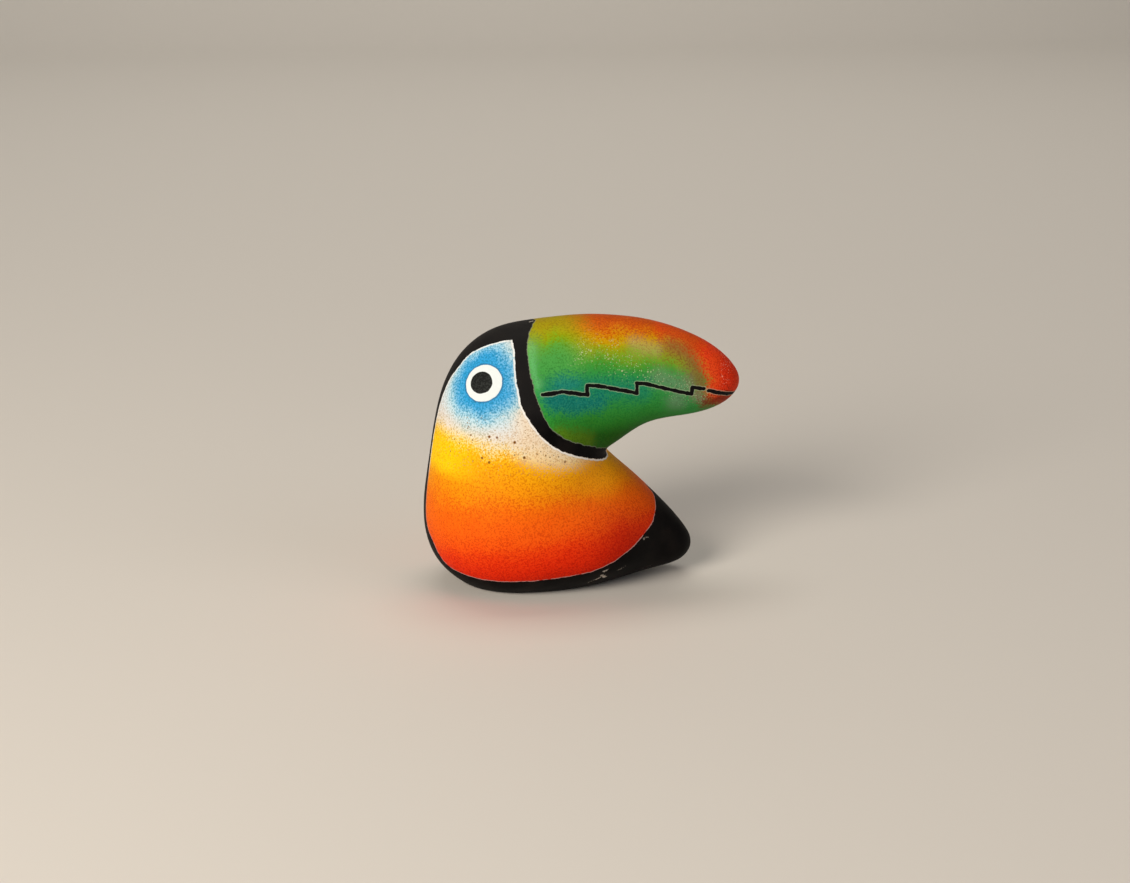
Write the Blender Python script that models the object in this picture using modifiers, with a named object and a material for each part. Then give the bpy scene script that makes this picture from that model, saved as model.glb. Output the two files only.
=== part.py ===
"""Ceramic toucan figurine: a small painted bird with a big beak, cast as one solid with a flat underside.

The bird is a loft. Its sections fan round the notch between the beak and the back, so that the sweep runs
from the tip of the beak over the crown, down the nape, under the belly and out to the tip of the tail.
+X is the way that the beak and the tail point, +Z is up, and the bird is the same on both sides of Y = 0.
"""

import math

import bmesh
import bpy
import numpy as np

# Driving dimensions, in metres
LENGTH = 0.0667
HEIGHT = 0.0568
BODY_WIDTH = 0.0376
HEAD_WIDTH = 0.0290
BEAK_WIDTH = 0.0226
TAIL_WIDTH = 0.0130

# The sections, from the tip of the beak to the tip of the tail. Each runs from a point of the outer profile to
# a point of the inner profile. Their x is a share of the length, from -0.5 to 0.5, and their z of the height,
# from the table up. The last number of a row is the section's width, as a share of the named one.
SECTIONS = (
    ("tip of the beak", (0.500, 0.738), (0.500, 0.738), BEAK_WIDTH, 0.00),
    ("end of the beak", (0.469, 0.818), (0.455, 0.668), BEAK_WIDTH, 0.40),
    ("slope of the beak", (0.374, 0.905), (0.353, 0.625), BEAK_WIDTH, 0.66),
    ("middle of the beak", (0.211, 0.976), (0.219, 0.601), BEAK_WIDTH, 0.83),
    ("top of the beak", (0.016, 1.000), (0.130, 0.543), BEAK_WIDTH, 0.96),
    ("root of the beak", (-0.141, 0.986), (0.086, 0.508), HEAD_WIDTH, 0.84),
    ("crown", (-0.267, 0.957), (0.076, 0.499), HEAD_WIDTH, 0.94),
    ("back of the head", (-0.378, 0.860), (0.075, 0.496), HEAD_WIDTH, 1.05),
    ("nape", (-0.444, 0.695), (0.075, 0.494), BODY_WIDTH, 0.86),
    ("neck", (-0.476, 0.493), (0.076, 0.491), BODY_WIDTH, 0.93),
    ("back", (-0.500, 0.281), (0.085, 0.482), BODY_WIDTH, 0.98),
    ("rump", (-0.466, 0.098), (0.100, 0.465), BODY_WIDTH, 1.00),
    ("belly", (-0.345, -0.018), (0.127, 0.435), BODY_WIDTH, 0.98),
    ("middle of the foot", (-0.194, -0.042), (0.169, 0.390), BODY_WIDTH, 0.91),
    ("end of the foot", (-0.014, -0.028), (0.214, 0.338), BODY_WIDTH, 0.76),
    ("root of the tail", (0.135, 0.004), (0.262, 0.279), TAIL_WIDTH, 1.48),
    ("middle of the tail", (0.236, 0.028), (0.303, 0.224), TAIL_WIDTH, 1.00),
    ("end of the tail", (0.314, 0.052), (0.339, 0.167), TAIL_WIDTH, 0.64),
    ("tip of the tail", (0.354, 0.108), (0.354, 0.108), TAIL_WIDTH, 0.00),
)

# How fine the loft is
STEPS_PER_SECTION = 4
STEPS_PER_RING = 20

# The orange of the belly, which is the paint's broadest colour, under a satin varnish
PAINT_COLOUR = (0.80, 0.27, 0.02, 1.0)
PAINT_ROUGHNESS = 0.45


def spline(values, places, level_ends):
    """A cubic spline through values at 0, 1, 2 and so on. It ends level, or else without a bend."""
    count = len(values)
    system = np.diag(np.full(count, 4.0))
    system += np.diag(np.ones(count - 1), 1)
    system += np.diag(np.ones(count - 1), -1)
    right = np.zeros(count)
    right[1:-1] = 6.0 * np.diff(values, 2)
    if level_ends:
        system[0, 0] = system[-1, -1] = 2.0
        right[0] = 6.0 * (values[1] - values[0])
        right[-1] = 6.0 * (values[-2] - values[-1])
    else:
        system[0, 1] = system[-1, -2] = 0.0
    bends = np.linalg.solve(system, right)
    first = np.minimum(places.astype(int), count - 2)
    part = places - first
    rest = 1.0 - part
    line = rest * values[first] + part * values[first + 1]
    return line + ((rest**3 - rest) * bends[first] + (part**3 - part) * bends[first + 1]) / 6.0


def fine_sections():
    """The middle, the half axis and the half width of every section of the loft.

    At both tips the middle comes in level and the sizes run straight to nothing, which rounds the tips.
    """
    size = np.array((LENGTH, HEIGHT))
    outer = np.array([row[1] for row in SECTIONS]) * size
    inner = np.array([row[2] for row in SECTIONS]) * size
    half_widths = np.array([width * share / 2.0 for *_, width, share in SECTIONS])
    last = len(SECTIONS) - 1
    places = np.linspace(0.0, last, last * STEPS_PER_SECTION + 1)
    middles = [spline(column, places, True) for column in ((outer + inner) / 2.0).T]
    half_axes = [spline(column, places, False) for column in ((outer - inner) / 2.0).T]
    return np.transpose(middles), np.transpose(half_axes), spline(half_widths, places, False)


def half_ring(middle, half_axis, half_width):
    """One section's near half: half an ellipse, from the outer profile to the inner one."""
    points = []
    for step in range(STEPS_PER_RING + 1):
        turn = math.pi * step / STEPS_PER_RING
        x, z = middle + half_axis * math.cos(turn)
        on_the_mirror = step in (0, STEPS_PER_RING)
        points.append((x, 0.0 if on_the_mirror else -half_width * math.sin(turn), z))
    return points


def loft_half_bird():
    """The near half of the bird as a mesh that is open at the mirror plane."""
    middles, half_axes, half_widths = fine_sections()
    half = bmesh.new()
    beak_tip, tail_tip = (half.verts.new((x, 0.0, z)) for x, z in (middles[0], middles[-1]))
    rings = []
    for section in list(zip(middles, half_axes, half_widths))[1:-1]:
        rings.append([half.verts.new(point) for point in half_ring(*section)])
    for step in range(STEPS_PER_RING):
        half.faces.new((beak_tip, rings[0][step], rings[0][step + 1]))
        half.faces.new((tail_tip, rings[-1][step + 1], rings[-1][step]))
    for ring, following in zip(rings, rings[1:]):
        for step in range(STEPS_PER_RING):
            half.faces.new((ring[step], following[step], following[step + 1], ring[step + 1]))
    mesh = bpy.data.meshes.new("toucan_body")
    half.to_mesh(mesh)
    half.free()
    return mesh


def make_table_cutter():
    """A block with its top at the table. It takes off what the loft has below the table."""
    depth = HEIGHT / 3.0
    bpy.ops.mesh.primitive_cube_add(size=1.0, location=(0.0, 0.0, -depth / 2.0))
    cutter = bpy.context.object
    cutter.name = "table_cutter"
    cutter.scale = (2.0 * LENGTH, 2.0 * BODY_WIDTH, depth)
    cutter.hide_render = True
    cutter.display_type = "WIRE"
    return cutter


def make_paint():
    """Matt paint and a satin varnish on fired clay."""
    paint = bpy.data.materials.new("painted_clay")
    paint.use_nodes = True
    shader = paint.node_tree.nodes["Principled BSDF"]
    shader.inputs["Base Color"].default_value = PAINT_COLOUR
    shader.inputs["Roughness"].default_value = PAINT_ROUGHNESS
    shader.inputs["Metallic"].default_value = 0.0
    return paint


def make_bird(cutter):
    """The whole bird: the near half, mirrored, and cut flat where it stands."""
    mesh = loft_half_bird()
    mesh.materials.append(make_paint())
    mesh.shade_smooth()
    bird = bpy.data.objects.new("toucan_body", mesh)
    mirror = bird.modifiers.new("far side", "MIRROR")
    mirror.use_axis = (False, True, False)
    mirror.merge_threshold = 0.00001
    foot = bird.modifiers.new("flat foot", "BOOLEAN")
    foot.operation = "DIFFERENCE"
    foot.solver = "EXACT"
    foot.object = cutter
    return bird


def put_in_collection(name, piece):
    """Moves a piece out of the collections that it is in, and into a new one."""
    for old in list(piece.users_collection):
        old.objects.unlink(piece)
    collection = bpy.data.collections.new(name)
    bpy.context.scene.collection.children.link(collection)
    collection.objects.link(piece)


def main():
    for old in list(bpy.data.objects):
        bpy.data.objects.remove(old)
    cutter = make_table_cutter()
    put_in_collection("cutters", cutter)
    put_in_collection("ceramic_toucan_figurine", make_bird(cutter))


main()
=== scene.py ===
# %% [markdown]
# A PAINTED CLAY TOUCAN
#
# The real thing is a souvenir bird as long as a thumb. A hollow bird of earthenware is cast in a plaster
# mould and fired. Then it is sprayed with an airbrush, its borders are scratched clean, and the black parts
# are brushed on. A satin varnish goes over everything. This notebook dresses the plain solid in the same
# order: first the clay, then the borders of the paint, then each coat, and last the light.

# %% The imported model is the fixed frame
import math

import bmesh
import bpy
import numpy as np
from mathutils import Matrix, Vector, noise
from mathutils.bvhtree import BVHTree
from mathutils.kdtree import KDTree


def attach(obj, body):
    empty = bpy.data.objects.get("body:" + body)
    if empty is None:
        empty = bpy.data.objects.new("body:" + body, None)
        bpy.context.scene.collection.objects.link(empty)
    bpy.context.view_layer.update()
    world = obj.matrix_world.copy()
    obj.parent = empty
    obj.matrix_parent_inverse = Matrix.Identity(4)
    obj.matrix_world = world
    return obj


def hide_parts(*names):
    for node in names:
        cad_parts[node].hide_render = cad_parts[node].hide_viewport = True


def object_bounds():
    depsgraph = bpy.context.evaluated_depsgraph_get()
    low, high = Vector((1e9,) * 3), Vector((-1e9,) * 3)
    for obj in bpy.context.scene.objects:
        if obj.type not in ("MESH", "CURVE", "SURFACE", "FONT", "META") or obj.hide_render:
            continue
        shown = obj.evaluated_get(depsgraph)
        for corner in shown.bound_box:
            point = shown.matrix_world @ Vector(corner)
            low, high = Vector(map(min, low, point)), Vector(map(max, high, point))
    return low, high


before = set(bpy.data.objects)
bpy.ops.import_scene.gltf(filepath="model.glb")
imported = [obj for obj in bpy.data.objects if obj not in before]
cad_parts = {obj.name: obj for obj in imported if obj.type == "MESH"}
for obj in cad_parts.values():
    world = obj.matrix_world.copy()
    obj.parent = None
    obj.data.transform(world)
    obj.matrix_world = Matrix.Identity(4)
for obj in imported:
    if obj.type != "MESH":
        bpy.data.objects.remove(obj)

CAD_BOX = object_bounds()
MM = 0.001
print("clay solid, mm:", [round(side / MM, 1) for side in CAD_BOX[1] - CAD_BOX[0]])

# %% [markdown]
# THE CAMERA
#
# The camera comes first, because the borders of the paint are read off the picture. The picture looks at
# the bird's left side from a little behind it and about 17 degrees above. A camera can be set by eye, but
# here the outline of the solid was laid over the picture, so the numbers are exact. The picture's middle
# isn't the bird's middle, which is what the lens shift is for.

# %% Camera
PICTURE_WIDTH = 1130
PICTURE_HEIGHT = 883
CAMERA_TURN = math.radians(-6)
CAMERA_RISE = math.radians(17)
FOCAL_PIXELS = 1900
PIXELS_PER_METRE = 4750
AIM = Vector((0, 0, 28.4)) * MM
AIM_PIXEL = (581, 447)
SENSOR_MM = 36
NEAREST_SEEN = 10 * MM

BACK = Vector((
    math.sin(CAMERA_TURN) * math.cos(CAMERA_RISE),
    -math.cos(CAMERA_TURN) * math.cos(CAMERA_RISE),
    math.sin(CAMERA_RISE),
))
RIGHT = Vector((math.cos(CAMERA_TURN), math.sin(CAMERA_TURN), 0))
UP = BACK.cross(RIGHT)
EYE_POINT = AIM + BACK * FOCAL_PIXELS / PIXELS_PER_METRE


def add_camera():
    """The camera that gives the picture's view and frame."""
    lens = bpy.data.cameras.new("picture_camera")
    lens.sensor_width = SENSOR_MM
    lens.lens = SENSOR_MM * FOCAL_PIXELS / PICTURE_WIDTH
    lens.shift_x = (PICTURE_WIDTH / 2 - AIM_PIXEL[0]) / PICTURE_WIDTH
    lens.shift_y = (AIM_PIXEL[1] - PICTURE_HEIGHT / 2) / PICTURE_WIDTH
    lens.clip_start = NEAREST_SEEN
    camera = bpy.data.objects.new("picture_camera", lens)
    camera.matrix_world = Matrix((RIGHT, UP, BACK)).transposed().to_4x4()
    camera.location = EYE_POINT
    bpy.context.scene.collection.objects.link(camera)
    bpy.context.scene.camera = camera
    return camera


print("focal length, mm:", round(add_camera().data.lens, 1))

# %% [markdown]
# THE CLAY
#
# The solid in the frame has broad flat facets, which varnished paint would show. Subdivision rounds them. It
# also crowds the mesh where the facets were small, at the tips and in the notch, so a voxel remesh follows:
# it lays even squares a little over a third of a millimetre wide on the whole bird, fine enough to carry
# the low relief and the borders of the paint. A few rounds of softening take the remesh's steps away, as a
# wet sponge does on clay.

# %% Fine mesh of the clay
WELD = 0.001 * MM
JOIN_ANGLE = 0.6
JOIN_SKEW = 0.9
ROUNDING_LEVELS = 2
GRID = 0.37 * MM
SOFT_ROUNDS = 14
FOOT_PRINT = 0.06 * MM


def welded_copy(node):
    """A copy of a node's mesh with its corners welded and its triangles joined to squares."""
    sheet = bmesh.new()
    sheet.from_mesh(node.data)
    bmesh.ops.remove_doubles(sheet, verts=sheet.verts, dist=WELD)
    bmesh.ops.join_triangles(
        sheet, faces=sheet.faces, angle_face_threshold=JOIN_ANGLE, angle_shape_threshold=JOIN_SKEW
    )
    mesh = bpy.data.meshes.new("facetted_clay")
    sheet.to_mesh(mesh)
    sheet.free()
    return mesh


def apply_modifiers(piece):
    """Makes what the modifiers show the piece's own mesh."""
    finished = bpy.data.meshes.new_from_object(piece.evaluated_get(bpy.context.evaluated_depsgraph_get()))
    piece.modifiers.clear()
    piece.data = finished


def points_of(mesh):
    """The places of a mesh's points, one row each."""
    flat = np.empty(len(mesh.vertices) * 3, np.float32)
    mesh.vertices.foreach_get("co", flat)
    return flat.reshape(-1, 3).astype(float)


def move_points(mesh, places):
    """Moves the points of a mesh to new places."""
    mesh.vertices.foreach_set("co", places.astype(np.float32).ravel())
    mesh.update()


def soften(mesh, rounds):
    """Moves each point halfway to the middle of its neighbours, again and again."""
    ends = np.empty(len(mesh.edges) * 2, np.int32)
    mesh.edges.foreach_get("vertices", ends)
    one, other = ends.reshape(-1, 2).T
    places = points_of(mesh)
    neighbours = np.bincount(ends, minlength=len(places))[:, None]
    for _ in range(rounds):
        total = np.zeros_like(places)
        for axis in range(3):
            total[:, axis] += np.bincount(one, places[other, axis], len(places))
            total[:, axis] += np.bincount(other, places[one, axis], len(places))
        places = (places + total / neighbours) / 2
    places[places[:, 2] < FOOT_PRINT, 2] = 0.0
    move_points(mesh, places)


bird = bpy.data.objects.new("painted_toucan", welded_copy(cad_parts["toucan_body"]))
bpy.context.scene.collection.objects.link(bird)
rounding = bird.modifiers.new("rounding", "SUBSURF")
rounding.levels = ROUNDING_LEVELS
rounding.render_levels = ROUNDING_LEVELS
even_grid = bird.modifiers.new("even grid", "REMESH")
even_grid.mode = "VOXEL"
even_grid.voxel_size = GRID
apply_modifiers(bird)
soften(bird.data, SOFT_ROUNDS)
print("squares in the fine mesh:", len(bird.data.polygons))

# %% [markdown]
# PLACES ON THE CLAY
#
# A painter sets the borders by eye on the round surface. Here each one is a few points that are read off
# the picture, and a ray from the camera finds where each lies on the clay. What the picture hides, such as
# the strip down the nape, is given by its height and its half width. One side is worked out, and the other
# mirrors it.

# %% Finding places on the clay
FAR_AWAY = 0.2
face_corners = [tuple(face.vertices) for face in bird.data.polygons]
clay = BVHTree.FromPolygons(points_of(bird.data).tolist(), face_corners)


def on_clay(pixel):
    """The place on the near side that a pixel of the picture shows."""
    across = RIGHT * (pixel[0] - AIM_PIXEL[0]) / FOCAL_PIXELS
    down = UP * (pixel[1] - AIM_PIXEL[1]) / FOCAL_PIXELS
    place = clay.ray_cast(EYE_POINT, across - down - BACK)[0]
    if place is None:
        raise ValueError(f"pixel {pixel} misses the clay")
    return Vector((place.x, -abs(place.y), place.z))


def on_the_back(height_mm, half_width_mm):
    """The place on the back or the nape at a height, and at a distance from the bird's middle plane."""
    start = Vector((-FAR_AWAY, -half_width_mm * MM, height_mm * MM))
    return clay.ray_cast(start, Vector((1, 0, 0)))[0]


def in_the_notch(height_mm):
    """The place on the middle plane, at the inner end of the gap between the beak and the tail."""
    return clay.ray_cast(Vector((FAR_AWAY, 0, height_mm * MM)), Vector((-1, 0, 0)))[0]


print("a place on the clay, mm:", [round(part / MM, 1) for part in on_clay(AIM_PIXEL)])

# %% [markdown]
# THE BORDERS OF THE PAINT
#
# Three fields of paint meet on the bird: the coloured bib, which runs from the face to the belly, the beak,
# and the black between and round them. Two borders part them. A border could be cut into the mesh as edges,
# but a distance that each point of the mesh stores is simpler: it is zero on the border and grows away from
# it, so the paint, the scratched line and the low relief all take their places from the same number.

# %% Border of the bib
CROWN_EDGE_PIXELS = ((512.4, 339.9), (497, 343), (480.6, 348.5), (469.7, 354.7), (460, 365.6), (452, 376.5))
NAPE_HALF_WIDTHS = ((42.6, 2.6), (37.4, 2.2), (30.8, 1.9), (25.4, 2.4), (19.0, 3.4), (13.8, 4.3))
BELLY_EDGE_PIXELS = (
    (433.5, 541), (446, 562.7), (463, 573.3), (484.7, 579.3), (512, 581.4), (538, 580.4), (568, 576.3),
    (591, 571.2), (612.7, 562), (626, 552.4), (636, 543.6), (644.8, 533), (651, 524.4), (654.4, 514.8),
    (655.2, 504), (652.8, 494),
)
BELLY_EDGE_TOP = Vector((13.9, 0, 20.0)) * MM
FACE_EDGE_PIXELS = (
    (512.4, 339.9), (514.8, 354.7), (516, 376.5), (519, 395.7), (521.6, 406.5), (527, 417.5), (536.6, 431),
    (549, 443.5), (562.6, 451.7), (579, 456.5), (592.7, 458.8), (601, 459), (605.2, 457.4), (606.4, 453.5),
    (605.8, 449.4),
)
COLLAR_END_HEIGHT = 29.5
STEP = 0.2 * MM


def smooth_path(places):
    """Points a step apart on a smooth curve through some places, laid back on the clay."""
    path = []
    ends = [places[0] * 2 - places[1], *places, places[-1] * 2 - places[-2]]
    for before, start, end, after in zip(ends, ends[1:], ends[2:], ends[3:]):
        count = max(2, round((end - start).length / STEP))
        for step in range(count):
            t = step / count
            bend = (start * 3 - end * 3 + after - before) * t**3
            bend += (before * 2 - start * 5 + end * 4 - after) * t**2
            path.append(clay.find_nearest(start + ((end - before) * t + bend) / 2)[0])
    path.append(clay.find_nearest(places[-1])[0])
    return path


crown_edge = [on_clay(pixel) for pixel in CROWN_EDGE_PIXELS]
nape_edge = [on_the_back(*row) for row in NAPE_HALF_WIDTHS]
belly_edge = [on_clay(pixel) for pixel in BELLY_EDGE_PIXELS]
face_edge = [on_clay(pixel) for pixel in FACE_EDGE_PIXELS]
bib_border = smooth_path(crown_edge + nape_edge + belly_edge + [clay.find_nearest(BELLY_EDGE_TOP)[0]])[::-1]
bib_border += smooth_path(face_edge + [in_the_notch(COLLAR_END_HEIGHT)])
print("length of the bib's border on one side, mm:", round(len(bib_border) * STEP / MM))

# %% Border of the beak
BEAK_EDGE_TOP = Vector((-9.3, 0, 56.0)) * MM
BEAK_EDGE_PIXELS = (
    (532.4, 326.5), (529, 335.5), (527.2, 347.8), (528.6, 364), (532.5, 382), (536.6, 398.4), (541, 410),
    (547.6, 423), (555.8, 432.6), (569.4, 440.8), (587, 445.5), (603, 447.6),
)

beak_edge = [clay.find_nearest(BEAK_EDGE_TOP)[0]] + [on_clay(pixel) for pixel in BEAK_EDGE_PIXELS]
beak_border = smooth_path(beak_edge + [in_the_notch(COLLAR_END_HEIGHT)])
print("length of the beak's border on one side, mm:", round(len(beak_border) * STEP / MM))

# %% [markdown]
# Which side of a border a point lies on is asked in the side view, where half the bird covers its outline
# once. The border is closed with a few corners in the empty air beside the bird, and a point inside that
# shape is inside the field. The distance itself is measured in the round.

# %% Distances from the borders
BIB_CLOSING = ((20, 27.5),)
BEAK_CLOSING = ((20, 29.3), (45, 29.3), (45, 70), (-9.3, 70))
NO_LENGTH = 1e-18


def inside(outline, x, z):
    """Whether points of the side view lie inside a closed outline."""
    result = np.zeros(len(x), bool)
    for (x0, z0), (x1, z1) in zip(outline, outline[1:] + outline[:1]):
        if z0 == z1:
            continue
        crosses = (z0 > z) != (z1 > z)
        result ^= crosses & (x < x0 + (x1 - x0) * (z - z0) / (z1 - z0))
    return result


def distance_to_path(places, path):
    """How far each place is from the path, in millimetres."""
    corners = np.array(path)
    tree = KDTree(len(path))
    for index, place in enumerate(path):
        tree.insert(place, index)
    tree.balance()
    nearest = np.array([tree.find(place)[1] for place in places])
    best = np.full(len(places), np.inf)
    for first in (np.maximum(nearest - 1, 0), np.minimum(nearest, len(path) - 2)):
        start = corners[first]
        run = corners[first + 1] - start
        share = ((places - start) * run).sum(1) / np.maximum((run * run).sum(1), NO_LENGTH)
        foot = start + run * np.clip(share, 0, 1)[:, None]
        best = np.minimum(best, np.linalg.norm(places - foot, axis=1))
    return best / MM


def signed_distance(places, path, closing):
    """Distance from a border in millimetres, above zero inside its field."""
    outline = [(place.x, place.z) for place in path] + [(x * MM, z * MM) for x, z in closing]
    side = np.where(inside(outline, places[:, 0], places[:, 2]), 1.0, -1.0)
    return distance_to_path(places, path) * side


def store(mesh, name, values):
    """Keeps a number for each point of the mesh, where the paint can read it."""
    mesh.attributes.new(name, "FLOAT", "POINT").data.foreach_set("value", values.astype(np.float32))


near_side = points_of(bird.data)
near_side[:, 1] = -np.abs(near_side[:, 1])
in_bib = signed_distance(near_side, bib_border, BIB_CLOSING)
in_beak = signed_distance(near_side, beak_border, BEAK_CLOSING)
store(bird.data, "in_bib", in_bib)
store(bird.data, "in_beak", in_beak)
shares = [round((field > 0).mean(), 2) for field in (in_bib, in_beak)]
print("share of the points in the bib and the beak:", *shares)

# %% [markdown]
# The top of the beak is sprayed from above, so its colours lie in strips that follow the ridge. How far a
# point lies below the ridge is found by dropping a row of rays along the middle plane.

# %% Depth below the ridge of the beak
RIDGE_STATIONS = 80


def ridge_height(x):
    """How high the ridge is above the table at a distance along the bird."""
    return clay.ray_cast(Vector((x, 0, FAR_AWAY)), Vector((0, 0, -1)))[0].z


stations = np.linspace(near_side[:, 0].min(), near_side[:, 0].max(), RIDGE_STATIONS)[1:-1]
ridge = np.array([ridge_height(x) for x in stations])
below_ridge = (np.interp(near_side[:, 0], stations, ridge) - near_side[:, 2]) / MM
store(bird.data, "below_ridge", below_ridge)
print("highest point of the ridge, mm:", round(ridge.max() / MM, 1))

# %% [markdown]
# LOW RELIEF
#
# The beak of the real bird swells a little where it leaves the collar, the moulded surface is never quite
# even, and the black foot has a few chips. This is real shape, so it goes into the mesh and not only into
# the paint's bump. Rounding the solid has shrunk it by about a fifth of a millimetre, which is given back
# first. The relief is pressed inwards from there, so the bird stays inside its measured size.

# %% Pressing the relief into the clay
# All are in millimetres, but for the spread of a chip, which is in widths of the chip. A lump has a size and
# a depth.
FULLNESS = 0.20
VALLEY_DEPTH = 0.22
VALLEY_ON_BEAK = 0.75
VALLEY_ON_COLLAR = 1.9
VALLEY_GONE = 5.0
VALLEY_WHOLE = 10.0
LUMPS = ((9.0, 0.13), (3.2, 0.04))
CHIP_SPREAD = 1.6

# A chip: from pixel to pixel, how wide it is to either side and how deep, in mm
CHIPS = (
    ((588.5, 582.0), (601, 576.8), 0.26, 0.12),
    ((601.5, 575.2), (605, 576.8), 0.34, 0.15),
    ((603.5, 571.2), (608, 569.2), 0.26, 0.11),
    ((618, 569.8), (625, 565.6), 0.16, 0.05),
    ((643, 567.4), (652, 564.2), 0.15, 0.05),
    ((643.5, 538.8), (647.5, 536.8), 0.20, 0.06),
    ((530.2, 322.0), (532.2, 320.6), 0.24, 0.10),
)


def chip_depth(places, start, end, width, depth):
    """How deep one chip presses each place, in millimetres."""
    away = distance_to_path(places, [on_clay(start), on_clay(end)])
    return depth * np.exp(-((away / (CHIP_SPREAD * width)) ** 2))


def lump_depth(places, size, depth):
    """A soft unevenness of a given size and depth, in millimetres."""
    heights = [noise.noise(Vector(place) / (size * MM)) for place in places]
    return (0.5 + 0.5 * np.clip(heights, -1, 1)) * depth


places = points_of(bird.data)
from_middle = np.clip((np.abs(places[:, 1]) / MM - VALLEY_GONE) / (VALLEY_WHOLE - VALLEY_GONE), 0, 1)
valley_width = np.where(in_beak > 0, VALLEY_ON_BEAK, VALLEY_ON_COLLAR)
depth = VALLEY_DEPTH * from_middle * np.exp(-((in_beak / valley_width) ** 2))
for size, lump in LUMPS:
    depth += lump_depth(places, size, lump)
for chip in CHIPS:
    depth += chip_depth(near_side, *chip) * (places[:, 1] < 0)
normals = np.empty(len(places) * 3, np.float32)
bird.data.vertex_normals.foreach_get("vector", normals)
standing = places[:, 2] == 0.0
places -= normals.reshape(-1, 3) * (depth[:, None] - FULLNESS) * MM
places[standing, 2] = 0.0
places = np.clip(places, CAD_BOX[0], CAD_BOX[1])
move_points(bird.data, places)
bird.data.shade_smooth()
print("deepest press, mm:", round(depth.max(), 2))

# %% [markdown]
# A MATERIAL IN LAYERS
#
# The finish is sprayed and brushed paint on fired clay under a satin varnish. The eye sees strong, slightly
# chalky colours, a fine airbrush grain wherever two of them meet, and soft broad highlights. One material
# holds every coat, in the order that the painter laid them down, so each coat covers the one before. The
# hex values are sRGB, as a paint chart gives them, and the shader needs them linear.

# %% Helpers for the material
paint = bpy.data.materials.new("painted_earthenware")
paint.use_nodes = True


def linear(hex_colour):
    """An sRGB hex value as the linear colour that a shader takes."""
    parts = [int(hex_colour[at:at + 2], 16) / 255 for at in (1, 3, 5)]
    return [part / 12.92 if part <= 0.04045 else ((part + 0.055) / 1.055) ** 2.4 for part in parts] + [1.0]


def set_input(node, name, value):
    """Feeds a node's input with a number, a colour, a socket or the first output of another node."""
    socket = node.inputs[name] if isinstance(name, int) else next(
        known for known in node.inputs if known.enabled and known.name == name
    )
    if isinstance(value, bpy.types.Node):
        value = next(known for known in value.outputs if known.enabled)
    if isinstance(value, bpy.types.NodeSocket):
        paint.node_tree.links.new(value, socket)
    else:
        socket.default_value = value


def add(kind, inputs=None, **settings):
    """Adds a node with its settings and its inputs to the paint."""
    node = paint.node_tree.nodes.new(kind)
    for name, value in settings.items():
        setattr(node, name, value)
    for name, value in (inputs or {}).items():
        set_input(node, name, value)
    return node


shader = paint.node_tree.nodes["Principled BSDF"]
print("linear value of a warm white:", [round(part, 3) for part in linear("#F2EFE6")])

# %% [markdown]
# Every pattern is measured in millimetres on the bird, so the object's own coordinates are scaled once. The
# bird's two sides are painted alike, so the eye and the mouth read a point whose y is always the near
# side's.

# %% Coordinates in millimetres
in_metres = add("ShaderNodeTexCoord").outputs["Object"]
here = add("ShaderNodeVectorMath", {0: in_metres, "Scale": 1 / MM}, operation="SCALE")
parts = add("ShaderNodeSeparateXYZ", {0: here})
x_mm = parts.outputs["X"]
z_mm = parts.outputs["Z"]
from_middle_mm = add("ShaderNodeMath", {0: parts.outputs["Y"]}, operation="ABSOLUTE")
folded_y = add("ShaderNodeMath", {0: from_middle_mm, 1: -1.0}, operation="MULTIPLY")
near_point = add("ShaderNodeCombineXYZ", {"X": x_mm, "Y": folded_y, "Z": z_mm})
side_point = add("ShaderNodeCombineXYZ", {"X": x_mm, "Y": 0.0, "Z": z_mm})
bib_mm = add("ShaderNodeAttribute", attribute_name="in_bib").outputs["Fac"]
beak_mm = add("ShaderNodeAttribute", attribute_name="in_beak").outputs["Fac"]
ridge_mm = add("ShaderNodeAttribute", attribute_name="below_ridge").outputs["Fac"]
print("nodes so far:", len(paint.node_tree.nodes))

# %% [markdown]
# An airbrush lays down dots of 0.1 to 0.3 mm. Where its cone thins out they stand apart, so a soft edge is
# really a grainy one. A fine noise is added to every distance before it decides between two colours, and a
# broad one makes the hand's unevenness. The dots are drawn at about 0.35 mm, which is as fine as the
# picture can show.

# %% Grain and wobble
GRAIN_MM = 0.35
DRIFT_MM = 5.0
WOBBLE_MM = 1.3
DARK_GRAIN = (0.36, 0.52)
LIGHT_GRAIN = (0.66, 0.50)

fine = add("ShaderNodeTexNoise", {"Vector": here, "Scale": 1 / GRAIN_MM, "Detail": 1.0, "Roughness": 0.6})
broad = add("ShaderNodeTexNoise", {"Vector": here, "Scale": 1 / DRIFT_MM, "Detail": 2.0})
hand = add("ShaderNodeTexNoise", {"Vector": here, "Scale": 1 / WOBBLE_MM, "Detail": 1.0})


def jitter(value, grain=0.0, drift=0.0, wobble=0.0):
    """A distance in millimetres with some grain, drift and wobble added."""
    for texture, amount in ((fine, grain), (broad, drift), (hand, wobble)):
        if amount:
            away = add("ShaderNodeMath", {0: texture, 1: 0.5}, operation="SUBTRACT")
            value = add("ShaderNodeMath", {0: away, 1: 2 * amount, 2: value}, operation="MULTIPLY_ADD")
    return value


def fade(value, full, gone, most=1.0):
    """A share that is at its most where the value reaches full, and nothing where it reaches gone."""
    limits = {"Value": value, "From Min": gone, "From Max": full, "To Min": 0.0, "To Max": most}
    return add("ShaderNodeMapRange", limits, interpolation_type="SMOOTHSTEP")


def coat(under, share, over, blend="MIX"):
    """One layer of colour over another."""
    over = linear(over) if isinstance(over, str) else over
    return add("ShaderNodeMix", {"Factor": share, "A": under, "B": over}, data_type="RGBA", blend_type=blend)


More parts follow.
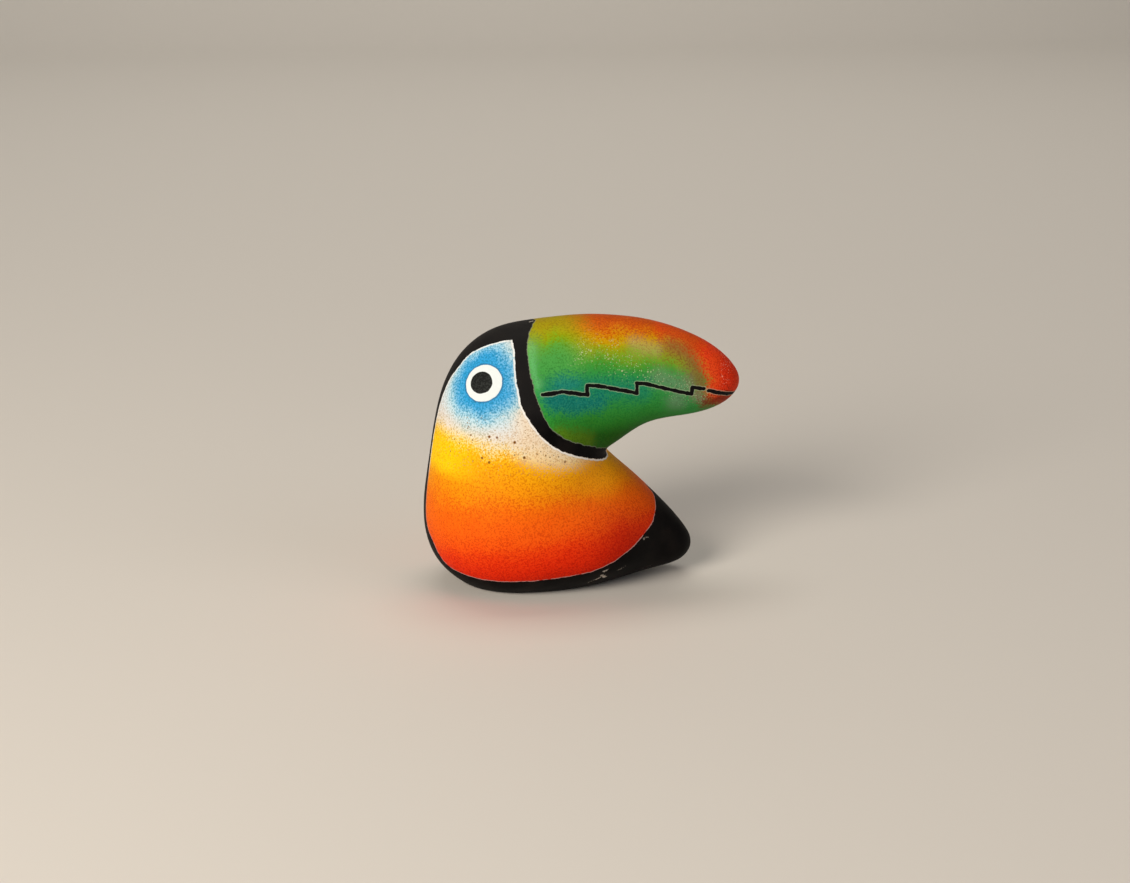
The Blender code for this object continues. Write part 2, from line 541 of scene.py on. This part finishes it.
def grained(under, dark, light, share):
    """Breaks an even colour up into fine darker and lighter grains."""
    under = coat(under, fade(fine, *DARK_GRAIN, share), dark, "MULTIPLY")
    return coat(under, fade(fine, *LIGHT_GRAIN, share), light, "SCREEN")


def shades(value, stops):
    """A colour for each value, blended between stops of (value, hex colour)."""
    low, high = stops[0][0], stops[-1][0]
    share = add("ShaderNodeMapRange", {"Value": value, "From Min": low, "From Max": high})
    ramp = add("ShaderNodeValToRGB", {0: share})
    band = ramp.color_ramp.elements
    while len(band) < len(stops):
        band.new(0.5)
    for element, (place, colour) in zip(band, stops):
        element.position = (place - low) / (high - low)
    for element, (place, colour) in zip(band, stops):
        element.color = linear(colour)
    return ramp


def times(one, other):
    """The product of two shares."""
    return add("ShaderNodeMath", {0: one, 1: other}, operation="MULTIPLY")


print("grain, drift and wobble, mm:", GRAIN_MM, DRIFT_MM, WOBBLE_MM)

# %% [markdown]
# THE BIB
#
# The bib is one long fade from white under the eye through cream, yellow and orange to red at the foot. The
# painter turned the bird on a wheel under the airbrush, so each colour nearly keeps its height all round
# it. A colour ramp over the height gives that, with a tilt that is the other way up at the cream than at
# the red. The grain gives the stipple of the edges.

# %% Bib colours by height
BIB_STOPS = (
    (3.0, "#CC1E04"), (7.5, "#DC2805"), (9.6, "#E02F07"), (12.0, "#E43C08"), (14.2, "#EA520A"),
    (17.8, "#EE600B"), (20.8, "#EC6A08"), (23.8, "#EC8A06"), (27.0, "#EE9E06"), (30.0, "#F0AE08"),
    (30.5, "#EFB622"), (31.1, "#EDC250"), (32.1, "#E9D290"), (33.3, "#E2D7BC"), (35.0, "#DCD8D0"),
    (37.4, "#D4E0E6"),
)
# At the red the tilt deepens the colour towards the tail: partly the spray's own fade, partly painted shade
# where the belly turns away from the lamp.
RED_TILT = -0.15
RED_TILT_Z = 16.0
CREAM_TILT = 0.18
CREAM_TILT_Z = 33.0
LEVEL_X = -12.0

tilt = add("ShaderNodeMapRange", {
    "Value": z_mm,
    "From Min": RED_TILT_Z,
    "From Max": CREAM_TILT_Z,
    "To Min": RED_TILT,
    "To Max": CREAM_TILT,
})
from_level = add("ShaderNodeMath", {0: x_mm, 1: LEVEL_X}, operation="SUBTRACT")
tilted = add("ShaderNodeMath", {0: from_level, 1: tilt, 2: z_mm}, operation="MULTIPLY_ADD")
bib_colour = shades(jitter(tilted, grain=3.1, drift=1.6), BIB_STOPS)
print("bib stops:", len(BIB_STOPS))

# %% [markdown]
# More touches of the airbrush come on top. A pure yellow lies on the back of the neck. Under the collar the
# white was sprayed once more, so a pale band follows the collar and narrows to the right. Below its end a
# clear amber is painted light: it brightens the place where the breast turns in under the beak, away from
# the lamp. A deeper red low down near the tail is painted shade.

# %% Yellow at the neck, pale band under the collar and two round touches of painted light and shade
# Each pair of limits says where the paint is full and where it is gone, in mm
NECK_YELLOW = "#FACE0C"
NECK_LOW_Z = (28.5, 25.0)
NECK_HIGH_Z = (32.8, 37.0)
NECK_X = (-29.5, -20.5)
NECK_MOST = 0.9
PALE_COLOUR = "#F0D8B2"
PALE_NARROWING = 0.34
PALE_WIDTH = 2.7
PALE_MOST = 0.72
PALE_Z = (27.0, 24.0)
PALE_X = (-12.0, -18.0)

neck = times(fade(z_mm, *NECK_LOW_Z), fade(z_mm, *NECK_HIGH_Z))
neck_share = times(neck, fade(jitter(x_mm, grain=3.4, drift=1.8), *NECK_X, NECK_MOST))
bib_colour = coat(bib_colour, neck_share, NECK_YELLOW)
under_collar = add("ShaderNodeMath", {0: x_mm, 1: PALE_NARROWING, 2: bib_mm}, operation="MULTIPLY_ADD")
pale_share = fade(jitter(under_collar, grain=3.4, drift=0.8), 0.0, PALE_WIDTH, PALE_MOST)
pale_share = times(pale_share, times(fade(z_mm, *PALE_Z), fade(x_mm, *PALE_X)))
bib_colour = coat(bib_colour, pale_share, PALE_COLOUR)

# A touch, painted light for the amber and painted shade for the red: its colour, how much it covers,
# where it is full and gone in mm, and its middle in pixels
LIGHT_AND_SHADE_TOUCHES = (
    ("#FFA614", 0.75, 0.6, 8.0, (598, 471)),
    ("#A41404", 0.50, 1.0, 12.0, (622, 545)),
)
for light_shade_colour, most, full, gone, pixel in LIGHT_AND_SHADE_TOUCHES:
    away = add("ShaderNodeVectorMath", {0: near_point, 1: on_clay(pixel) / MM}, operation="DISTANCE")
    light_shade_share = fade(jitter(away, grain=2.0), full, gone, most)
    bib_colour = coat(bib_colour, light_shade_share, light_shade_colour)
print("pale band, mm:", PALE_WIDTH, "round touches:", len(LIGHT_AND_SHADE_TOUCHES))

# %% [markdown]
# The blue round the eye is two puffs of the airbrush, a wide pale one and a small deep one. A distance from
# the middle of the puffs, in the round, decides how much of each there is. They go on before the white of
# the eye, which covers their densest part. Last, every colour is broken up by a fine grain, darker and
# lighter.

# %% Blue puffs round the eye
HALO_PIXEL = (482, 381)
BIB_GRAIN = ("#BE9E7A", "#2E200A", 0.42)

# A puff: where it is full and gone in mm, how much it covers, and its colour
PUFFS = ((6.0, 12.2, 0.85, "#8AD0E6"), (4.6, 9.5, 0.96, "#1E98D6"))

halo_place = on_clay(HALO_PIXEL) / MM
from_halo = add("ShaderNodeVectorMath", {0: near_point, 1: halo_place}, operation="DISTANCE")
from_halo = jitter(from_halo, grain=3.0, drift=2.4)
for full, gone, most, blue in PUFFS:
    bib_colour = coat(bib_colour, fade(from_halo, full, gone, most), blue)
bib_colour = grained(bib_colour, *BIB_GRAIN)
print("middle of the puffs, mm:", [round(part, 1) for part in halo_place])

# %% [markdown]
# Dust and coarse drops from the spray gun leave dark specks, thickest in the pale band under the eye.
# Voronoi cells scatter points evenly: a point's size is where the distance to the nearest one stays under a
# limit, and a second, random number for each cell drops most of them.

# %% Specks
# A kind of speck: the size of a cell and the largest radius in mm, the share of the cells that hold one,
# and its colour
SPECKS = ((0.5, 0.15, 0.50, "#A8906C"), (0.9, 0.20, 0.22, "#7E5E34"), (1.7, 0.38, 0.26, "#764A18"))
SPECKS_LOW_Z = (32.0, 26.0)
SPECKS_HIGH_Z = (36.5, 42.0)
CHOICE_SOFTNESS = 0.02


def speckle(under, cell_mm, radius_mm, share, colour, where):
    """Small dots of paint, in a share of the cells of a given size."""
    cells = add("ShaderNodeTexVoronoi", {"Vector": here, "Scale": 1 / cell_mm})
    chosen = add("ShaderNodeSeparateColor", {0: cells.outputs["Color"]})
    kept = fade(chosen.outputs["Red"], share - CHOICE_SOFTNESS, share)
    radius = radius_mm / cell_mm
    dot = fade(cells.outputs["Distance"], radius / 2, radius)
    return coat(under, times(times(kept, dot), where), colour)


pale_band = times(fade(z_mm, *SPECKS_LOW_Z), fade(z_mm, *SPECKS_HIGH_Z))
for cell_mm, radius_mm, share, colour in SPECKS:
    bib_colour = speckle(bib_colour, cell_mm, radius_mm, share, colour, pale_band)
print("kinds of speck:", len(SPECKS))

# %% [markdown]
# THE BEAK
#
# The beak is green, with strips of lime, amber and orange sprayed along its ridge, a red tip and a teal
# shadow along the mouth. The strips are a colour ramp over the depth below the ridge. Near the collar they
# are thinner and start from olive, so a second ramp takes over there.

# %% Beak strips below the ridge
# Painted shade: the first stops, on the ridge itself, are a little darker, and the last stops, low under the
# beak, darken to a deep green.
ORANGE_STRIPS = (
    (0.0, "#C84E00"), (1.4, "#D26000"), (2.6, "#CC8802"), (3.8, "#BC9A04"), (4.9, "#989E0C"),
    (6.2, "#78A022"), (8.0, "#429630"), (10.0, "#2C903E"), (13.0, "#2C8E42"), (17.0, "#2B8836"),
    (20.0, "#287C26"), (23.5, "#1E5E14"),
)
OLIVE_STRIPS = (
    (0.0, "#A89200"), (1.2, "#A29C00"), (2.2, "#94A000"), (3.2, "#78A414"), (4.2, "#5AA034"),
    (6.0, "#4A9E46"), (9.0, "#429C46"), (12.0, "#349646"), (16.0, "#2E8E36"), (20.0, "#2A8228"),
    (23.5, "#1E5E14"),
)
ORANGE_X = (3.5, -5.0)

strip_depth = jitter(ridge_mm, grain=2.0, drift=1.8)
toward_tip = fade(jitter(x_mm, grain=3.0, drift=2.0), *ORANGE_X)
beak_colour = coat(shades(strip_depth, OLIVE_STRIPS), toward_tip, shades(strip_depth, ORANGE_STRIPS))
print("strips:", len(ORANGE_STRIPS), len(OLIVE_STRIPS))

# %% [markdown]
# The other colours of the beak are single strokes of the airbrush, but three of them are painted highlights
# and one is painted shade. A stroke is a path with a width, so it needs the distance from a point to a path
# of straight runs, in the side view. Each run takes five nodes, which a loop adds.

# %% Strokes
def side_path(pixels):
    """The places that some pixels show, in millimetres in the side view."""
    return [Vector((place.x, 0, place.z)) / MM for place in map(on_clay, pixels)]


def distance_to_stroke(point, path):
    """Millimetres from a shaded point to a path of straight runs."""
    nearest = None
    for start, end in zip(path, path[1:]):
        run = end - start
        away = add("ShaderNodeVectorMath", {0: point, 1: start}, operation="SUBTRACT")
        share = add("ShaderNodeVectorMath", {0: away, 1: run / run.length_squared}, operation="DOT_PRODUCT")
        on_run = add("ShaderNodeClamp", {0: share})
        reach = add("ShaderNodeVectorMath", {0: run, "Scale": on_run}, operation="SCALE")
        gap = add("ShaderNodeVectorMath", {0: away, 1: reach}, operation="DISTANCE")
        nearest = add("ShaderNodeMath", {0: nearest, 1: gap}, operation="MINIMUM") if nearest else gap
    return nearest


# A stroke: its colour, how much it covers, where it is full and gone in mm, and its path in pixels
STROKES = (
    ("#885C34", 0.80, 0.4, 4.4, ((672, 345), (687, 351), (697, 366), (702, 386))),
    ("#78907A", 0.50, 0.2, 4.0, ((660, 378), (684, 386), (676, 402))),
    ("#8E8270", 0.60, 0.2, 2.4, ((697, 396), (703, 400))),
    ("#147E64", 0.78, 0.2, 4.4, ((552, 391), (590, 388), (626, 389), (642, 391))),
    ("#0A7272", 0.78, 0.2, 3.4, ((553, 401), (575, 405), (598, 402))),
    ("#16808A", 0.40, 0.1, 2.2, ((560, 385), (574, 383))),
    # Painted highlights: a pale haze on the ridge, then a lighter green rim down the beak's left edge.
    ("#A3A468", 0.50, 0.1, 2.6, ((634, 345), (656, 350))),
    ("#5CA04A", 0.40, 0.2, 2.2, ((534, 342), (538, 352))),
    ("#6CBE7C", 0.50, 0.2, 1.6, ((531, 350), (533, 366), (538, 386))),
    ("#E24A06", 0.75, 0.3, 3.2, ((662, 324), (686, 334), (706, 348))),
    ("#EC3E18", 0.95, 2.4, 5.0, ((715, 356), (721, 372), (723, 390))),
    ("#E23212", 0.95, 2.0, 5.0, ((731, 366), (732, 388))),
    ("#7C280C", 0.85, 0.4, 2.8, ((706, 403), (718, 400), (727, 396))),
    # Painted shade: a darker olive along the underside of the beak near the notch.
    ("#5A7A0C", 0.70, 0.3, 3.2, ((562, 436), (588, 441))),
)
BEAK_GRAIN = ("#A0A67E", "#2A2C12", 0.4)

for colour, most, full, gone, pixels in STROKES:
    gap = jitter(distance_to_stroke(side_point, side_path(pixels)), grain=2.2, drift=1.6)
    beak_colour = coat(beak_colour, fade(gap, full, gone, most), colour)
beak_colour = grained(beak_colour, *BEAK_GRAIN)
print("strokes:", len(STROKES), "nodes so far:", len(paint.node_tree.nodes))

# %% [markdown]
# The pale flecks on the beak are painted glints, small highlights on its stippled varnish, most of them in a
# belt above the mouth, and a few on the tip.

# %% Pale flecks on the beak, painted glints
# A kind of glint fleck: the size of a cell and the largest radius in mm, and the share of the cells that hold
# one
GLINT_FLECKS = ((0.34, 0.12, 0.46), (0.55, 0.17, 0.34), (0.9, 0.24, 0.16))
BELT_FULL = 0.2
BELT_MOST = 0.7

# A belt of painted glints: its colour, where it is gone in mm, and its path in pixels
GLINT_BELTS = (
    ("#BCC89C", 4.6, ((588, 354), (620, 362), (650, 376), (684, 392), (702, 394))),
    ("#F0A88C", 2.6, ((714, 352), (723, 364), (722, 382))),
)
for glint_colour, gone, pixels in GLINT_BELTS:
    from_belt = jitter(distance_to_stroke(side_point, side_path(pixels)), drift=5.0)
    belt = fade(from_belt, BELT_FULL, gone, BELT_MOST)
    for cell_mm, radius_mm, share in GLINT_FLECKS:
        beak_colour = speckle(beak_colour, cell_mm, radius_mm, share, glint_colour, belt)
print("fleck kinds:", len(GLINT_FLECKS), "belts:", len(GLINT_BELTS))

# %% [markdown]
# THE BLACK
#
# The crown, the collar, the foot and the tail are brushed in black enamel, which has none of the spray's
# orange peel. A painted sheen greys it a little at the crown and the upper collar, where the lamp catches
# it. Two borders part it from the colours. Beside each of them the painter scratched a thin line down to
# the pale ground, wider round the face, to clean the edge.

# %% Black parts
EDGE_SOFT = 0.05
BLACKS = ((0.35, "#060505"), (0.5, "#0C0A0A"), (0.65, "#15110F"))
UPPER_SHEEN_COLOUR = "#222121"
UPPER_SHEEN_Z = (42.0, 36.0)
UPPER_SHEEN_MOST = 0.6

bib_edge = jitter(bib_mm, wobble=0.22, grain=0.08)
beak_edge_mm = jitter(beak_mm, wobble=0.30, grain=0.12)
bib_share = fade(bib_edge, EDGE_SOFT, -EDGE_SOFT)
beak_share = fade(beak_edge_mm, EDGE_SOFT, -EDGE_SOFT)
# Painted sheen: the black is greyed towards the top, at the crown and the upper collar.
black = coat(shades(broad, BLACKS), fade(z_mm, *UPPER_SHEEN_Z, UPPER_SHEEN_MOST), UPPER_SHEEN_COLOUR)
colour = coat(coat(black, bib_share, bib_colour), beak_share, beak_colour)
print("soft edge of the paint, mm:", 2 * EDGE_SOFT)

# %% Scratched lines
# The low line runs round the belly and the other round the face. The inner and the outer limits are shares of
# the line's width.
LINE_WIDTH = 0.20
LINE_COLOUR = "#BFA6A0"
FACE_LINE_WIDTH = 0.42
FACE_LINE_COLOUR = "#F0F1EE"
FACE_LINE_Z = (27.0, 22.0)
LINE_INNER = (0.7, 1.1)
LINE_OUTER = (0.15, -0.1)
LINE_BREAKS = (0.42, 0.28)
LINE_MOST = 0.85
BEAK_LINE = (0.04, 0.14)
BEAK_LINE_MOST = 0.6
BEAK_LINE_COLOUR = "#7C8670"

high_up = fade(z_mm, *FACE_LINE_Z)
line_width = add("ShaderNodeMapRange", {"Value": high_up, "To Min": LINE_WIDTH, "To Max": FACE_LINE_WIDTH})
across_line = add("ShaderNodeMath", {0: bib_edge, 1: line_width}, operation="DIVIDE")
bib_line = times(fade(across_line, *LINE_INNER), fade(across_line, *LINE_OUTER))
from_beak_edge = add("ShaderNodeMath", {0: beak_edge_mm}, operation="ABSOLUTE")
beak_line = fade(from_beak_edge, *BEAK_LINE, BEAK_LINE_MOST)
line_colour = coat(linear(LINE_COLOUR), high_up, FACE_LINE_COLOUR)
colour = coat(colour, times(bib_line, fade(hand, *LINE_BREAKS, LINE_MOST)), line_colour)
colour = coat(colour, beak_line, BEAK_LINE_COLOUR)
print("line widths, mm:", LINE_WIDTH, FACE_LINE_WIDTH)

# %% [markdown]
# The mouth is one black brush stroke with three steps, like a row of blunt teeth. It is drawn with the same
# distance to a path. Its width wavers by a few hundredths of a millimetre, and a pale halo shows where the
# brush pushed the wet green aside. Its last run is made twice as long, so that it goes round the tip to the
# other side.

# %% Mouth line
LONG_STROKE = (
    (542.4, 394.6), (562.7, 391.8), (587.3, 394.8), (587.0, 385.3), (596, 385.2), (636.8, 392.8),
    (636.6, 383.2), (645, 383.4), (691.6, 394.2), (692.2, 386.9), (703.6, 388.7),
)
TIP_STROKE = ((708.4, 390.5), (727.3, 393.4), (733.5, 392.2))
MOUTH_HALF_WIDTH = 0.40
MOUTH_SOFT = 0.05
MOUTH_COLOUR = "#100F0F"
HALO_LIMITS = (0.08, 0.20)
HALO_MOST = 0.45
HALO_COLOUR = "#B4C4A4"
BORDER_GAP = (0.5, 0.3)

tip_path = side_path(TIP_STROKE)
tip_path.append(tip_path[-1] * 2 - tip_path[-2])
strokes = [distance_to_stroke(side_point, path) for path in (side_path(LONG_STROKE), tip_path)]
from_stroke = add("ShaderNodeMath", {0: strokes[0], 1: strokes[1]}, operation="MINIMUM")
mouth_mm = jitter(from_stroke, wobble=0.22, grain=0.08)
on_beak = fade(beak_mm, *BORDER_GAP)
halo_limits = [MOUTH_HALF_WIDTH + away for away in HALO_LIMITS]
halo_share = fade(mouth_mm, *halo_limits, HALO_MOST)
mouth_share = fade(mouth_mm, MOUTH_HALF_WIDTH - MOUTH_SOFT, MOUTH_HALF_WIDTH + MOUTH_SOFT)
for share, tint in ((halo_share, HALO_COLOUR), (mouth_share, MOUTH_COLOUR)):
    colour = coat(colour, times(share, on_beak), tint)
print("mouth line, mm:", 2 * MOUTH_HALF_WIDTH)

# %% [markdown]
# THE EYE
#
# The eye is two dabs of thick enamel: a white disc 8 mm across and a black one on it, off centre. Each is
# an ellipse on the plane that touches the clay there, so it stays round when seen straight on. Two dot
# products give a point's place on that plane.

# %% Eye
EYE_PIXEL = (483.2, 382.9)
WHITE_RADII = (4.04, 3.83)
PUPIL_PIXEL = (481.3, 382.6)
PUPIL_RADII = (2.46, 2.30)
DISC_REACH = (9.0, 8.0)
OUT_OF_REACH = 50.0


def from_disc(pixel, radii):
    """How far a point is from the edge of a painted disc, in millimetres, below zero inside it."""
    centre = on_clay(pixel)
    normal = clay.find_nearest(centre)[1]
    across = Vector((0, 0, 1)).cross(normal).normalized()
    upward = normal.cross(across)
    away = add("ShaderNodeVectorMath", {0: near_point, 1: centre / MM}, operation="SUBTRACT")
    sides = [
        add("ShaderNodeVectorMath", {0: away, 1: direction / radius}, operation="DOT_PRODUCT")
        for direction, radius in ((across, radii[0]), (upward, radii[1]))
    ]
    on_plane = add("ShaderNodeCombineXYZ", {0: sides[0], 1: sides[1]})
    length = add("ShaderNodeVectorMath", {0: on_plane}, operation="LENGTH")
    gap = add("ShaderNodeMath", {0: length, 1: 1.0}, operation="SUBTRACT")
    near = add("ShaderNodeVectorMath", {0: away}, operation="LENGTH")
    far = fade(near, *DISC_REACH, OUT_OF_REACH)
    scaled = add("ShaderNodeMath", {0: gap, 1: sum(radii) / 2, 2: far}, operation="MULTIPLY_ADD")
    return jitter(scaled, wobble=0.12, grain=0.05)


white_mm = from_disc(EYE_PIXEL, WHITE_RADII)
pupil_mm = from_disc(PUPIL_PIXEL, PUPIL_RADII)
print("eye and pupil, mm:", [2 * radius for radius in WHITE_RADII + PUPIL_RADII])

# %% Coats of the eye
RIM_SHADE = "#2F4F70"
RIM_LIMITS = (0.05, 0.50)
RIM_MOST = 0.6
EYE_WHITE = "#DEE8E8"
WHITE_EDGE = (-0.05, 0.05)
PUPIL_BLACK = "#181A19"
PUPIL_GREY = "#2C302E"
PUPIL_EDGE = (-0.04, 0.06)
PUPIL_GRAIN = (0.62, 0.42)

colour = coat(colour, fade(white_mm, *RIM_LIMITS, RIM_MOST), RIM_SHADE)
colour = coat(colour, fade(white_mm, *WHITE_EDGE), EYE_WHITE)
pupil_share = fade(pupil_mm, *PUPIL_EDGE)
pupil_colour = coat(linear(PUPIL_BLACK), fade(fine, *PUPIL_GRAIN), PUPIL_GREY)
colour = coat(colour, pupil_share, pupil_colour)
print("nodes so far:", len(paint.node_tree.nodes))

# %% [markdown]
# WEAR
#
# A few chips in the black, all but one of them low down, show the pale clay. They sit in the dents that were
# pressed into the mesh.

# %% Chips
CHIP_COLOUR = "#C4BCB0"
CHIP_FULL = 0.4
CHIP_GONE = 1.2
CHIP_MOST = 0.9
PALER_WITH_DEPTH = 7

for start, end, width, chip in CHIPS:
    away = distance_to_stroke(here, [on_clay(start) / MM, on_clay(end) / MM])
    ragged = jitter(away, grain=0.5, wobble=0.35)
    most = min(CHIP_MOST, PALER_WITH_DEPTH * chip)
    colour = coat(colour, fade(ragged, CHIP_FULL * width, CHIP_GONE * width, most), CHIP_COLOUR)
print("chips:", len(CHIPS))

# %% [markdown]
# THE SURFACE
#
# Old satin varnish over paint: an index of refraction near 1.5 and a roughness of about 0.5. Dust and
# handling have taken most of its shine, so the specular level is low, or else the paper floor would lay a
# grey veil over the black. The bump holds only what is too fine for the mesh: the orange peel of the spray,
# the clay's own grain under it, the thickness of the mouth line and the depth of the scratched lines. Its
# heights are in millimetres.

# %% Roughness and bump
PEEL_MM = 0.50
PEEL_HEIGHT = 0.040
GRIT_HEIGHT = 0.012
MOUTH_HEIGHT = 0.02
SCRATCH_HEIGHT = -0.03
BLACK_ROUGHNESS = 0.50
SPRAY_ROUGHNESS = 0.46
ROUGHNESS_GRAIN = 0.12
VARNISH_IOR = 1.5
VARNISH_SPECULAR = 0.05

coloured = add("ShaderNodeMath", {0: bib_share, 1: beak_share}, operation="MAXIMUM")
roughness_range = {"Value": coloured, "To Min": BLACK_ROUGHNESS, "To Max": SPRAY_ROUGHNESS}
roughness = add("ShaderNodeMapRange", roughness_range)
roughness = add("ShaderNodeMath", {0: fine, 1: ROUGHNESS_GRAIN, 2: roughness}, operation="MULTIPLY_ADD")
peel = add("ShaderNodeTexNoise", {"Vector": here, "Scale": 1 / PEEL_MM, "Detail": 1.0})
height = times(times(peel, coloured), PEEL_HEIGHT)
for share, rise in ((fine, GRIT_HEIGHT), (mouth_share, MOUTH_HEIGHT), (bib_line, SCRATCH_HEIGHT)):
    height = add("ShaderNodeMath", {0: share, 1: rise, 2: height}, operation="MULTIPLY_ADD")
bump = add("ShaderNodeBump", {"Height": height, "Strength": 1.0, "Distance": MM})
for name, value in (("Base Color", colour), ("Roughness", roughness), ("Normal", bump)):
    set_input(shader, name, value)
set_input(shader, "IOR", VARNISH_IOR)
set_input(shader, "Specular IOR Level", VARNISH_SPECULAR)
bird.data.materials.clear()
bird.data.materials.append(paint)
print("nodes in the paint:", len(paint.node_tree.nodes))

# %% [markdown]
# FLOOR AND LIGHT
#
# A plain pale sheet that curves up behind the bird, as in a product studio, leaves no horizon line. A large
# soft lamp stands on the left in front, where the picture's window is, and a weaker one on the right lights
# the breast where it turns away under the beak. A third lights only the paper. Large lamps give soft shadows
# and broad highlights.

# %% Paper sweep
SWEEP_HALF_WIDTH = 2.5
SWEEP_FRONT = -1.5
SWEEP_BACK = 1.2
SWEEP_RADIUS = 0.5
SWEEP_TOP = 2.2
SWEEP_STEPS = 24
PAPER_COLOUR = "#D8D4CC"
PAPER_ROUGHNESS = 0.85


def add_sweep():
    """The floor and the backdrop: one sheet of matt paper, bent on a wide curve."""
    profile = [(SWEEP_FRONT, 0.0)]
    for step in range(SWEEP_STEPS + 1):
        turn = math.pi / 2 * step / SWEEP_STEPS
        profile.append((SWEEP_BACK + SWEEP_RADIUS * math.sin(turn), SWEEP_RADIUS * (1 - math.cos(turn))))
    profile.append((SWEEP_BACK + SWEEP_RADIUS, SWEEP_TOP))
    corners = [(x, y, z) for y, z in profile for x in (-SWEEP_HALF_WIDTH, SWEEP_HALF_WIDTH)]
    faces = [(2 * row, 2 * row + 1, 2 * row + 3, 2 * row + 2) for row in range(len(profile) - 1)]
    mesh = bpy.data.meshes.new("paper_sweep")
    mesh.from_pydata(corners, [], faces)
    mesh.shade_smooth()
    sweep = bpy.data.objects.new("paper_sweep", mesh)
    bpy.context.scene.collection.objects.link(sweep)
    paper = bpy.data.materials.new("matt_paper")
    paper.use_nodes = True
    finish = paper.node_tree.nodes["Principled BSDF"].inputs
    finish["Base Color"].default_value = linear(PAPER_COLOUR)
    finish["Roughness"].default_value = PAPER_ROUGHNESS
    mesh.materials.append(paper)
    return sweep


print("sweep faces:", len(add_sweep().data.polygons))

# %% Lamps and room
# A lamp: its name, its place, what it faces, its side in metres, its power in watts and its colour
LAMPS = (
    ("window", (-0.47, -0.53, 0.38), AIM, 0.36, 6.4, "#FFF4E8"),
    ("fill", (0.70, -0.48, 0.34), AIM, 0.60, 1.3, "#F8F6FC"),
    ("paper_light", (0.00, 0.55, 1.40), (0.0, 1.7, 0.1), 1.00, 12.0, "#FFF8F0"),
)
ROOM_COLOUR = "#E6E6E8"
ROOM_STRENGTH = 0.12


def add_lamp(name, place, target, size, watts, colour):
    """A square soft lamp that faces a target."""
    light = bpy.data.lights.new(name, "AREA")
    light.size = size
    light.energy = watts
    light.color = linear(colour)[:3]
    lamp = bpy.data.objects.new(name, light)
    lamp.location = place
    lamp.rotation_euler = (Vector(place) - Vector(target)).to_track_quat("Z", "Y").to_euler()
    bpy.context.scene.collection.objects.link(lamp)


for row in LAMPS:
    add_lamp(*row)
room = bpy.data.worlds.new("room")
room.use_nodes = True
room_light = room.node_tree.nodes["Background"].inputs
room_light["Color"].default_value = linear(ROOM_COLOUR)
room_light["Strength"].default_value = ROOM_STRENGTH
bpy.context.scene.world = room
bpy.context.scene.view_settings.view_transform = "Standard"
print("lamps:", len(LAMPS))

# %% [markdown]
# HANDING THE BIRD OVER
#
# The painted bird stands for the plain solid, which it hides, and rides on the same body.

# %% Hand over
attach(bird, "root")
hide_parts("toucan_body")
